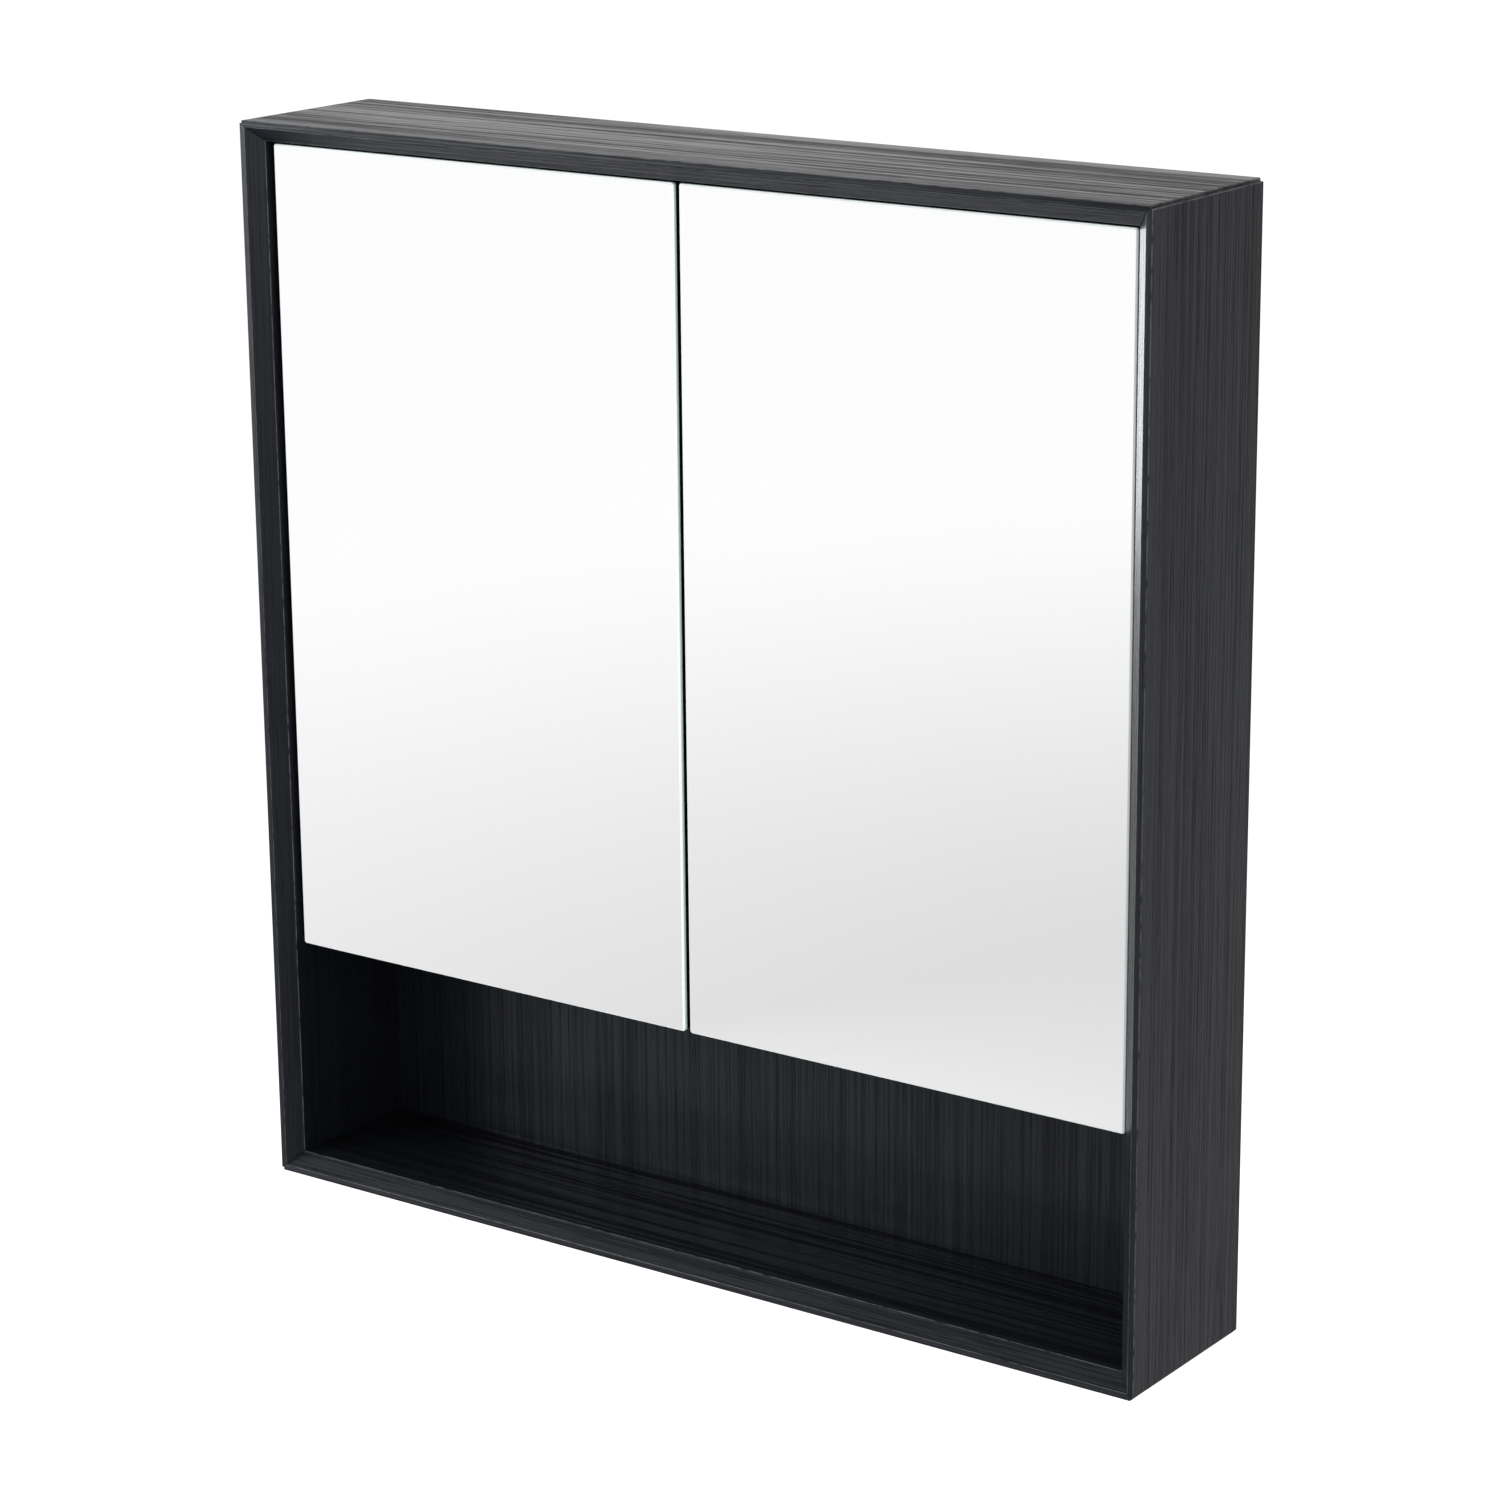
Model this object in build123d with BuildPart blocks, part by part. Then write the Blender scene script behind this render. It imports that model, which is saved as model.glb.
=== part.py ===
"""Mirror cabinet: a mitred, bevelled black ash frame with two mirror doors above an open niche.

X runs to the right, Y towards the wall and Z up, in millimetres. The origin lies on the wall, in
the middle of the four wall screws that the cabinet hangs from. The cabinet is symmetric, so each
left-hand piece is made first and its right-hand twin is its mirror image in the YZ plane.
"""
import os
from math import cos, hypot, pi, sin, sqrt, tan

from build123d import *

os.makedirs("parts", exist_ok=True)

# ---------------------------------------------------------------- driving dimensions
# Frame
cabinet_width = 800.0
cabinet_height = 850.0
cabinet_depth = 148.0
hang_drop = 75.0  # from the cabinet's top down to the middle of the wall screws
panel = 16.0  # frame panels, fixed shelf and partition
front_flat = 5.0  # flat that the bevel leaves on each front edge
lipping_depth = 15.0  # solid ash strip along each front edge
outer_round = 0.8  # outer arris of the lipping
bevel_round = 0.8  # arris between the front flat and the bevel
inner_round = 1.5  # arris between the bevel and the inner face
mitre_round = 1.0  # rounding of each mitred tip
shadow_gap = 1.3  # width of the groove along each outer corner
shadow_depth = 3.0
hairline = 0.3  # gap across the front of each mitre
hairline_depth = 12.0
spline_thickness = 4.0  # plywood tongue across each mitre
spline_width = 10.0
spline_end = 20.0  # from the spline's ends to the board's front and back edges

# Back panel
back_thickness = 6.0
back_recess = 11.0  # space left behind it for the wall plates
back_groove = 8.0
groove_clearance = 0.2

# Doors
door_recess = 15.0  # mirror face behind the front edge
mirror_thickness = 4.0
mirror_arris = 1.2  # polished bevel around the mirror
mirror_corner = 2.0  # corner radius
board_thickness = 16.0
board_inset = 1.0  # the board stops short of the mirror's edge
door_top_gap = 2.5
door_middle_gap = 5.0
niche_opening = 177.0  # clear height below the doors
finger_grip = 15.0  # the doors hang this far below the fixed shelf
bumper_height = 1.8
bumper_from_end = 30.0  # from the partition's top or bottom to the bumper
bumper_gap = 0.2  # left between a closed door's bumper and the stop

# Concealed hinges: two to a door
hinge_from_end = 100.0  # from the door's top or bottom edge to the hinge
cup_radius = 17.5
cup_depth = 11.5
cup_tab = 5.0  # board left between the cup and the mirror's edge
cup_wall = 1.0
cup_floor = 0.7
cup_clearance = 0.1
cup_flange_lip = 2.5  # the flange reaches past the cup's bore
cup_flange = 1.2
ear_width = 14.0
ear_spacing = 48.0
ear_offset = 9.5  # ear screws past the cup's centre, away from the edge
pin_radius = 1.25
pin_length = 25.0
pin_shift = 1.5  # pin nearer the door's edge than the cup's centre
pin_depth = 8.0  # pin in front of the board's back face
pin_running = 0.05
eye_radius = 2.4
lug_gap = 0.5
lug_thickness = 4.0
lug_width = 8.0
lug_height = 6.5
arm_width = 12.0
arm_thickness = 2.5
arm_bend = 3.0
arm_clearance = 2.0  # between the arm's neck and the cup's flange when the door is open
swing_clearance = 0.8  # between the swinging edge of the mirror and the frame
channel_width = 14.0
channel_length = 45.0
channel_wall = 2.0
channel_height = 7.0
plate_thickness = 3.0
plate_length = 24.0
plate_height = 48.0
plate_gap = 8.0  # from the arm's crank back to the plate
plate_corner = 5.0
plate_screw_spacing = 32.0
rib_width = 11.0
rib_clearance = 0.1
arm_screw_length = 7.0
plate_edge_to_screw = 3.0  # the front arm screw sits this far behind the plate's front edge
arm_end_to_screw = 7.0  # the rear arm screw sits this far before the arm's end
channel_lift = 1.0  # between the plate and the arm's channel

# Glass shelves
glass_thickness = 6.0
glass_side_gap = 1.0
glass_back_gap = 1.0
glass_arris = 0.5
shelf_front_clearance = 3.0  # behind the sweep of an opening door
shelves_per_side = 2
pin_hole_radius = 2.5
pin_hole_depth = 7.0
pin_row_pitch = 32.0
pin_rows = 3
support_collar_radius = 4.0
support_collar = 0.8
support_length = 8.0
support_width = 6.0
support_height = 2.0
support_pin_length = 6.5
support_from_edge = 12.0

# Hangers and wall plates
wall_plate_width = 28.0
wall_plate_side_gap = 2.0
wall_plate_thickness = 2.0
wall_plate_bottom = -28.0
wall_plate_bend = 20.0  # height where the plate leaves the wall
wall_plate_lip = 32.0  # height of the lip that the hook rests on
wall_plate_step = 4.0
wall_screw_radius = 2.75
wall_screw_spacing = 32.0
hook_width = 10.0
hook_thickness = 2.5
hook_tongue = 7.0
hook_wall_gap = 0.8
housing_width = 26.0
housing_depth = 40.0
housing_height = 56.0
housing_wall = 4.0
housing_front = 7.0
housing_top_gap = 3.0
carrier_depth = 12.0
carrier_gap = 1.0
carrier_height = 44.0
flange_length = 18.0
flange_thickness = 3.0
hook_slot_margin = 3.0
adjust_screw_spacing = 28.0
fixing_screw_spacing = 32.0

# Fasteners and dowels
screw_head_radius = 3.5
screw_head_height = 1.8
screw_head_crown = 0.7  # rounding of the head's rim
cross_length = 4.2
cross_width = 0.9
wood_screw_radius = 1.75
wood_screw_bite = 12.0  # length of a wood screw inside the board
machine_screw_radius = 2.0
dowel_radius = 4.0
dowel_length = 28.0
dowel_in_panel = 10.0
dowel_from_edge = 25.0

# ---------------------------------------------------------------- worked-out places
half_width = cabinet_width / 2
front_bevel = panel - front_flat
top_z = hang_drop
bottom_z = top_z - cabinet_height
front_y = -cabinet_depth
lipping_y = front_y + lipping_depth
spline_length = -lipping_y - 2 * spline_end
inner_x = -half_width + panel  # inner face of the left side panel
ceiling_z = top_z - panel
floor_z = bottom_z + panel
back_front_y = -back_recess - back_thickness

mirror_y = front_y + door_recess
board_y = mirror_y + mirror_thickness
door_back_y = board_y + board_thickness
door_top_z = ceiling_z - door_top_gap
door_bottom_z = floor_z + niche_opening
hinge_heights = [door_top_z - hinge_from_end, door_bottom_z + hinge_from_end]
shelf_bottom_z = door_bottom_z + finger_grip
shelf_top_z = shelf_bottom_z + panel
shelf_middle_z = shelf_bottom_z + panel / 2

pin_y = door_back_y - pin_depth
pin_inset = cup_tab + cup_radius - pin_shift  # from the mirror's edge
swing_radius = hypot(pin_inset, pin_y - mirror_y)
door_side_gap = swing_radius - pin_inset + swing_clearance
door_edge_x = inner_x + door_side_gap
door_free_x = -door_middle_gap / 2
pin_x = door_edge_x + pin_inset
cup_x = pin_x + pin_shift
sweep_y = pin_y + swing_radius + swing_clearance  # an opening door stays in front of this

bumper_radius = (panel / 2 + door_free_x - board_inset) / 2
bumper_x = door_free_x - board_inset - bumper_radius
bumper_heights = [shelf_top_z + bumper_from_end, ceiling_z - bumper_from_end]
stop_y = door_back_y + bumper_height + bumper_gap  # front edge of the partition

neck_reach = pin_depth + cup_flange + arm_clearance + arm_thickness / 2
channel_front_y = sweep_y - arm_thickness / 2
channel_back_y = channel_front_y + channel_length
channel_x = inner_x + plate_thickness + channel_lift
channel_top_x = channel_x + channel_height
rib_top_x = channel_top_x - channel_wall
plate_y = sweep_y + plate_gap
arm_screw_depths = [plate_y + plate_edge_to_screw, channel_back_y - arm_end_to_screw]

glass_front_y = pin_y + swing_radius + shelf_front_clearance
glass_back_y = back_front_y - glass_back_gap
glass_bay = (ceiling_z - shelf_top_z) / (shelves_per_side + 1)
glass_heights = [shelf_top_z + glass_bay * (level + 1) for level in range(shelves_per_side)]
support_depths = [glass_front_y + support_from_edge, glass_back_y - support_from_edge]
support_heights = [height - support_height / 2 for height in glass_heights]
row_heights = [
    height + pin_row_pitch * (row - (pin_rows - 1) / 2)
    for height in support_heights
    for row in range(pin_rows)
]

hook_x = inner_x + wall_plate_side_gap + wall_plate_width / 2
housing_bottom_z = ceiling_z - housing_top_gap - housing_height
housing_middle_z = housing_bottom_z + housing_height / 2
housing_y = back_front_y - housing_depth
cavity_y = housing_y + housing_front
carrier_y = cavity_y + carrier_gap
adjust_heights = [housing_middle_z + side * adjust_screw_spacing / 2 for side in (-1, 1)]
fixing_heights = [housing_middle_z + side * fixing_screw_spacing / 2 for side in (-1, 1)]

dowel_depths = [sweep_y + dowel_from_edge, back_front_y - dowel_from_edge]


def save(piece, name):
    """Name a finished piece and write it as its own STEP file."""
    piece.label = name
    export_step(piece, f"parts/{name}.step")


def save_pair(piece, name):
    """Write a left-hand piece and its mirror image on the right."""
    save(piece, f"left_{name}")
    save(mirror(piece, about=Plane.YZ), f"right_{name}")


# ---------------------------------------------------------------- fasteners
def screw(shank_radius, shank_length):
    """A cross-head screw along Z: its head stands on Z = 0 and its shank goes down."""
    with BuildPart() as made:
        Cylinder(screw_head_radius, screw_head_height, align=(Align.CENTER, Align.CENTER, Align.MIN))
        fillet(made.edges().sort_by(Axis.Z)[-1], screw_head_crown)
        Cylinder(shank_radius, shank_length, align=(Align.CENTER, Align.CENTER, Align.MAX))
        with Locations((0, 0, screw_head_height)):
            for turn in (0, 90):
                Box(
                    cross_length,
                    cross_width,
                    screw_head_height,
                    rotation=(0, 0, turn),
                    mode=Mode.SUBTRACT,
                )
    return made.part


def facing(point, direction):
    """A place at the point whose Z axis looks along the direction."""
    return Plane(origin=point, z_dir=direction).location


def group(piece, places):
    """Copies of one piece at several places, as one node."""
    with BuildPart() as made:
        with Locations(*places):
            add(piece)
    return made.part


def depth_plane(y):
    """A drawing plane across the cabinet at depth Y; extruding from it goes towards the front."""
    return Plane.XZ.offset(-y)


def block(x_from, x_to, y_from, y_to, z_from, z_to, mode=Mode.ADD):
    """A rectangular block between two corners."""
    with Locations(((x_from + x_to) / 2, (y_from + y_to) / 2, (z_from + z_to) / 2)):
        Box(x_to - x_from, y_to - y_from, z_to - z_from, mode=mode)


# Screw places. Each looks out of the face that the head stands on.
plate_screw_places = [
    facing((inner_x + plate_thickness, plate_y + plate_length / 2, height + offset), (1, 0, 0))
    for height in hinge_heights
    for offset in (-plate_screw_spacing / 2, plate_screw_spacing / 2)
]
arm_screw_places = [
    facing((channel_top_x, depth, height), (1, 0, 0))
    for height in hinge_heights
    for depth in arm_screw_depths
]
ear_screw_places = [
    facing((cup_x + ear_offset, door_back_y + cup_flange, height + offset), (0, 1, 0))
    for height in hinge_heights
    for offset in (-ear_spacing / 2, ear_spacing / 2)
]
hanger_screw_places = [
    facing((inner_x + flange_thickness, housing_y - flange_length / 2, height), (1, 0, 0))
    for height in fixing_heights
]
adjust_screw_places = [facing((hook_x, housing_y, height), (0, -1, 0)) for height in adjust_heights]

plate_screws = group(screw(wood_screw_radius, plate_thickness + wood_screw_bite), plate_screw_places)
arm_screws = group(screw(machine_screw_radius, arm_screw_length), arm_screw_places)
ear_screws = group(screw(wood_screw_radius, cup_flange + wood_screw_bite), ear_screw_places)
hanger_screws = group(screw(wood_screw_radius, flange_thickness + wood_screw_bite), hanger_screw_places)
adjust_screws = group(
    screw(machine_screw_radius, housing_front + carrier_gap + carrier_depth), adjust_screw_places
)
save_pair(plate_screws, "hinge_plate_screws")
save_pair(arm_screws, "hinge_arm_screws")
save_pair(ear_screws, "hinge_cup_screws")
save_pair(hanger_screws, "hanger_screws")
save_pair(adjust_screws, "hook_screws")


# ---------------------------------------------------------------- frame
def mitre(length, end):
    """The 45 degree plane that ends a bar whose outer face is at Z = 0."""
    return Plane(origin=(end * length / 2, 0, 0), z_dir=(-end, 0, 1))


def shadow_place(length, end, y):
    """The outer corner of a mitre, turned along the mitre plane."""
    return Location((end * length / 2, y, 0), (0, -45 * end, 0))


def round_tip(length, end, y_from, y_to):
    """Rounds the tip of a mitred end, between the outer face and the wall of its groove.

    The tip's faces meet at 45 degrees, so the arc touches each of them at the radius over the
    tangent of half of that, and its middle lies on the line that halves the tip.
    """
    half_tip = pi / 8
    tip_x = end * (length / 2 - shadow_gap / sqrt(2))
    touch = mitre_round / tan(half_tip)
    crown = mitre_round / sin(half_tip) - mitre_round
    past_x = tip_x + end * touch
    on_face = (tip_x - end * touch, 0)
    on_wall = (tip_x - end * touch / sqrt(2), -touch / sqrt(2))
    on_middle = (tip_x - end * crown * cos(half_tip), -crown * sin(half_tip))
    with BuildSketch(depth_plane(y_to)) as tip:
        with BuildLine():
            ThreePointArc(on_face, on_middle, on_wall)
            Polyline(on_wall, (past_x, 0), (past_x, touch), (on_face[0], touch), on_face)
        make_face()
    extrude(tip.sketch, amount=y_to - y_from, mode=Mode.SUBTRACT)


def spline_place(length, end):
    """The middle of a mitre in the veneered board, turned along the mitre plane."""
    return Location((end * (length - panel) / 2, lipping_y / 2, -panel / 2), (0, -45 * end, 0))


def frame_board(length):
    """The veneered board of one frame side, lying along X with its outer face at Z = 0."""
    with BuildPart() as made:
        with BuildSketch(Plane.YZ.offset(-length / 2)):
            with BuildLine():
                Polyline(
                    (lipping_y, 0),
                    (0, 0),
                    (0, -panel),
                    (-back_recess, -panel),
                    (-back_recess, back_groove - panel),
                    (back_front_y, back_groove - panel),
                    (back_front_y, -panel),
                    (lipping_y, -panel),
                    close=True,
                )
            make_face()
        extrude(amount=length)
        for end in (-1, 1):
            split(bisect_by=mitre(length, end), keep=Keep.TOP)
            with Locations(shadow_place(length, end, lipping_y / 2)):
                Box(2 * shadow_depth, -lipping_y, shadow_gap, mode=Mode.SUBTRACT)
            round_tip(length, end, lipping_y, 0)
            with Locations(spline_place(length, end)):
                Box(spline_thickness, spline_length, spline_width, mode=Mode.SUBTRACT)
    return made.part


def frame_lipping(length):
    """The solid ash front strip of one frame side, with its bevel facing the doors."""
    with BuildPart() as made:
        with BuildSketch(Plane.YZ.offset(-length / 2)):
            with BuildLine():
                FilletPolyline(
                    (front_y, 0),
                    (lipping_y, 0),
                    (lipping_y, -panel),
                    (front_y + front_bevel, -panel),
                    (front_y, -front_flat),
                    radius=[outer_round, 0, 0, inner_round, bevel_round],
                    close=True,
                )
            make_face()
        extrude(amount=length)
        for end in (-1, 1):
            split(bisect_by=mitre(length, end), keep=Keep.TOP)
            with Locations(shadow_place(length, end, front_y + lipping_depth / 2)):
                Box(2 * shadow_depth, lipping_depth, shadow_gap, mode=Mode.SUBTRACT)
            with Locations(shadow_place(length, end, front_y)):
                Box(4 * panel, 2 * hairline_depth, hairline, mode=Mode.SUBTRACT)
            round_tip(length, end, front_y, lipping_y)
    return made.part


# Each side of the frame is a bar turned to its place; the angle is about Y.
middle_z = (top_z + bottom_z) / 2
top_place = Location((0, 0, top_z))
bottom_place = Location((0, 0, bottom_z), (0, 180, 0))
left_place = Location((-half_width, 0, middle_z), (0, -90, 0))

save(top_place * frame_lipping(cabinet_width), "top_lipping")
save(bottom_place * frame_lipping(cabinet_width), "bottom_lipping")
save_pair(left_place * frame_lipping(cabinet_height), "side_lipping")
corner_places = [
    place * spline_place(cabinet_width, end)
    for place in (top_place, bottom_place)
    for end in (-1, 1)
]
with BuildPart() as mitre_splines:
    with Locations(*corner_places):
        Box(spline_thickness, spline_length, spline_width)
save(mitre_splines.part, "mitre_splines")

# Dowels: one end sits in a frame panel or the fixed shelf, the rest in the board they carry.
dowel = Cylinder(dowel_radius, dowel_length, align=(Align.CENTER, Align.CENTER, Align.MIN))


def dowels(x, z, direction):
    """Dowels that start at X and Z and point along the direction, one behind another."""
    return group(dowel, [facing((x, depth, z), direction) for depth in dowel_depths])


side_dowels = dowels(inner_x - dowel_in_panel, shelf_middle_z, (1, 0, 0))
top_dowels = dowels(0, ceiling_z + dowel_in_panel, (0, 0, -1))
foot_dowels = dowels(0, shelf_top_z - dowel_in_panel, (0, 0, 1))
save_pair(side_dowels, "shelf_dowels")
with BuildPart() as partition_dowels:
    add(top_dowels)
    add(foot_dowels)
save(partition_dowels.part, "partition_dowels")

with BuildPart() as top_panel:
    add(top_place * frame_board(cabinet_width))
    add(top_dowels, mode=Mode.SUBTRACT)
save(top_panel.part, "top_panel")

with BuildPart() as bottom_panel:
    add(bottom_place * frame_board(cabinet_width))
save(bottom_panel.part, "bottom_panel")

# Side panel, with the holes for the shelf dowels, shelf supports, hinge plates and hanger
with BuildPart() as side_panel:
    add(left_place * frame_board(cabinet_height))
    add(side_dowels, mode=Mode.SUBTRACT)
    add(plate_screws, mode=Mode.SUBTRACT)
    add(hanger_screws, mode=Mode.SUBTRACT)
    with BuildSketch(Plane.YZ.offset(inner_x)):
        with Locations(*[(y, z) for y in support_depths for z in row_heights]):
            Circle(pin_hole_radius)
    extrude(amount=-pin_hole_depth, mode=Mode.SUBTRACT)
save_pair(side_panel.part, "side_panel")

# Back panel, held in the grooves, with a slot for each hanging hook
with BuildPart() as back_panel:
    reach = back_groove - groove_clearance
    block(
        inner_x - reach,
        -inner_x + reach,
        back_front_y,
        -back_recess,
        floor_z - reach,
        ceiling_z + reach,
    )
    slot_y = (back_front_y - back_recess) / 2
    slot_z = wall_plate_lip - hook_tongue / 2
    for side in (-1, 1):
        with Locations((side * hook_x, slot_y, slot_z)):
            Box(
                hook_width + hook_slot_margin,
                2 * back_thickness,
                hook_tongue + 2 * hook_thickness + 2 * hook_slot_margin,
                mode=Mode.SUBTRACT,
            )
save(back_panel.part, "back_panel")

# Fixed shelf between the cupboard and the niche, set back behind the sweep of the doors
with BuildPart() as fixed_shelf:
    block(inner_x, -inner_x, sweep_y, back_front_y, shelf_bottom_z, shelf_top_z)
    add(side_dowels, mode=Mode.SUBTRACT)
    add(mirror(side_dowels, about=Plane.YZ), mode=Mode.SUBTRACT)
    add(foot_dowels, mode=Mode.SUBTRACT)
save(fixed_shelf.part, "fixed_shelf")

# Partition behind the gap between the doors
with BuildPart() as centre_partition:
    block(-panel / 2, panel / 2, stop_y, back_front_y, shelf_top_z, ceiling_z)
    add(top_dowels, mode=Mode.SUBTRACT)
    add(foot_dowels, mode=Mode.SUBTRACT)
    for side in (-1, 1):
        with BuildSketch(Plane.YZ.offset(side * panel / 2)):
            with Locations(*[(y, z) for y in support_depths for z in row_heights]):
                Circle(pin_hole_radius)
        extrude(amount=-side * pin_hole_depth, mode=Mode.SUBTRACT)
save(centre_partition.part, "centre_partition")


# ---------------------------------------------------------------- glass shelves
# A support is a pin with a collar and a flat tongue that the glass lies on.
with BuildPart() as shelf_support:
    with BuildSketch(Plane.YZ):
        Circle(pin_hole_radius)
    extrude(amount=-support_pin_length)
    with BuildSketch(Plane.YZ):
        Circle(support_collar_radius)
    extrude(amount=support_collar)
    block(
        0,
        support_collar + support_length,
        -support_width / 2,
        support_width / 2,
        -support_height / 2,
        support_height / 2,
    )
support_places = [
    Location((x, y, z), (0, 0, turn))
    for x, turn in ((inner_x, 0), (-panel / 2, 180))
    for y in support_depths
    for z in support_heights
]
save_pair(group(shelf_support.part, support_places), "shelf_supports")

for height, level in zip(glass_heights, ("lower", "upper")):
    with BuildPart() as glass_shelf:
        block(
            inner_x + glass_side_gap,
            -panel / 2 - glass_side_gap,
            glass_front_y,
            glass_back_y,
            height,
            height + glass_thickness,
        )
        chamfer(glass_shelf.faces().sort_by(Axis.Y)[0].edges(), glass_arris)
    save(glass_shelf.part, f"left_{level}_glass_shelf")
    save(mirror(glass_shelf.part, about=Plane.YZ), f"right_{level}_glass_shelf")


# ---------------------------------------------------------------- doors
with BuildPart() as mirror_glass:
    block(door_edge_x, door_free_x, mirror_y, board_y, door_bottom_z, door_top_z)
    fillet(mirror_glass.edges().filter_by(Axis.Y), mirror_corner)
    chamfer(mirror_glass.faces().sort_by(Axis.Y)[0].edges(), mirror_arris)
save_pair(mirror_glass.part, "mirror")

with BuildPart() as door_board:
    block(
        door_edge_x + board_inset,
        door_free_x - board_inset,
        board_y,
        door_back_y,
        door_bottom_z + board_inset,
        door_top_z - board_inset,
    )
    with BuildSketch(depth_plane(door_back_y)):
        with Locations(*[(cup_x, height) for height in hinge_heights]):
            Circle(cup_radius)
    extrude(amount=cup_depth, mode=Mode.SUBTRACT)
    add(ear_screws, mode=Mode.SUBTRACT)
save_pair(door_board.part, "door_board")

# Two soft bumpers behind each door meet the partition's front edge.
with BuildPart() as door_bumpers:
    with BuildSketch(depth_plane(door_back_y + bumper_height)):
        with Locations(*[(bumper_x, height) for height in bumper_heights]):
            Circle(bumper_radius)
    extrude(amount=bumper_height)
save_pair(door_bumpers.part, "door_bumpers")


# ---------------------------------------------------------------- hinges
# Each hinge is drawn at Z = 0 and then copied to its heights on the door.
hinge_places = [Location((0, 0, height)) for height in hinge_heights]

with BuildPart() as hinge_cup:
    cup_outer = cup_radius - cup_clearance
    cup_inner = cup_outer - cup_wall
    cup_outer_depth = cup_depth - cup_clearance
    with BuildSketch(depth_plane(door_back_y + cup_flange)):
        with Locations((cup_x, 0)):
            Circle(cup_radius + cup_flange_lip)
        with Locations((cup_x + ear_offset, 0)):
            SlotCenterToCenter(ear_spacing, ear_width, rotation=90)
    extrude(amount=cup_flange)
    with BuildSketch(depth_plane(door_back_y)):
        with Locations((cup_x, 0)):
            Circle(cup_outer)
    extrude(amount=cup_outer_depth)
    with BuildSketch(depth_plane(door_back_y + cup_flange)):
        with Locations((cup_x, 0)):
            Circle(cup_inner)
        with Locations((cup_x + ear_offset, ear_spacing / 2), (cup_x + ear_offset, -ear_spacing / 2)):
            Circle(wood_screw_radius)
    extrude(amount=cup_flange + cup_outer_depth - cup_floor, mode=Mode.SUBTRACT)
    floor_y = door_back_y - cup_outer_depth + cup_floor
    lug_z = arm_width / 2 + lug_gap
    for side in (-1, 1):
        with Locations((pin_x, floor_y + lug_height / 2, side * (lug_z + lug_thickness / 2))):
            Box(lug_width, lug_height, lug_thickness)
    with Locations((pin_x, pin_y, 0)):
        Cylinder(pin_radius, pin_length, mode=Mode.SUBTRACT)
save_pair(group(hinge_cup.part, hinge_places), "hinge_cups")

with BuildPart() as hinge_pin:
    with Locations((pin_x, pin_y, 0)):
        Cylinder(pin_radius, pin_length)
save_pair(group(hinge_pin.part, hinge_places), "hinge_pins")

# The arm's neck leaves the pin away from the door's edge, so the cup's rim swings clear of it.
with BuildPart() as hinge_arm:
    with BuildSketch(Plane.XY.offset(-arm_width / 2)):
        with BuildLine():
            FilletPolyline(
                (pin_x, pin_y),
                (pin_x + neck_reach, pin_y),
                (pin_x + neck_reach, sweep_y),
                (channel_x + channel_wall, sweep_y),
                radius=arm_bend,
            )
        trace(line_width=arm_thickness)
        with Locations((pin_x, pin_y)):
            Circle(eye_radius)
            Circle(pin_radius + pin_running, mode=Mode.SUBTRACT)
    extrude(amount=arm_width)
    block(
        channel_x,
        channel_top_x,
        channel_front_y,
        channel_back_y,
        -channel_width / 2,
        channel_width / 2,
    )
    block(
        channel_x - channel_wall,
        rib_top_x,
        channel_front_y + arm_thickness,
        channel_back_y + channel_wall,
        -rib_width / 2 - rib_clearance,
        rib_width / 2 + rib_clearance,
        mode=Mode.SUBTRACT,
    )
    with BuildSketch(Plane.YZ.offset(channel_top_x)):
        with Locations(*[(depth, 0) for depth in arm_screw_depths]):
            Circle(machine_screw_radius)
    extrude(amount=-channel_wall, mode=Mode.SUBTRACT)
save_pair(group(hinge_arm.part, hinge_places), "hinge_arms")

with BuildPart() as hinge_plate:
    with BuildSketch(Plane.YZ.offset(inner_x)):
        with Locations((plate_y + plate_length / 2, 0)):
            RectangleRounded(plate_length, plate_height, plate_corner)
    extrude(amount=plate_thickness)
    block(
        inner_x + plate_thickness,
        rib_top_x,
        channel_front_y + arm_thickness + rib_clearance,
        channel_back_y - channel_wall,
        -rib_width / 2,
        rib_width / 2,
    )
    with BuildSketch(Plane.YZ.offset(inner_x)):
        with Locations(
            (plate_y + plate_length / 2, plate_screw_spacing / 2),
            (plate_y + plate_length / 2, -plate_screw_spacing / 2),
        ):
            Circle(wood_screw_radius)
    extrude(amount=plate_thickness, mode=Mode.SUBTRACT)
    with BuildSketch(Plane.YZ.offset(rib_top_x)):
        with Locations(*[(depth, 0) for depth in arm_screw_depths]):
            Circle(machine_screw_radius)
    extrude(amount=-(arm_screw_length - channel_wall), mode=Mode.SUBTRACT)
save_pair(group(hinge_plate.part, hinge_places), "hinge_plates")


# ---------------------------------------------------------------- hangers and wall plates
with BuildPart() as hanger_housing:
    block(
        inner_x,
        inner_x + housing_width,
        housing_y,
        back_front_y,
        housing_bottom_z,
        housing_bottom_z + housing_height,
    )
    fillet(hanger_housing.edges().filter_by(Axis.X).group_by(Axis.Y)[0], housing_wall / 2)
    block(
        inner_x + housing_wall,
        inner_x + housing_width - housing_wall,
        cavity_y,
        back_front_y,
        housing_bottom_z + housing_wall,
        housing_bottom_z + housing_height - housing_wall,
        mode=Mode.SUBTRACT,
    )
    block(
        inner_x,
        inner_x + flange_thickness,
        housing_y - flange_length,
        housing_y + housing_wall,
        housing_bottom_z + housing_wall,
        housing_bottom_z + housing_height - housing_wall,
    )
    add(hanger_screws, mode=Mode.SUBTRACT)
    add(adjust_screws, mode=Mode.SUBTRACT)
save_pair(hanger_housing.part, "hanger_housing")

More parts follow.
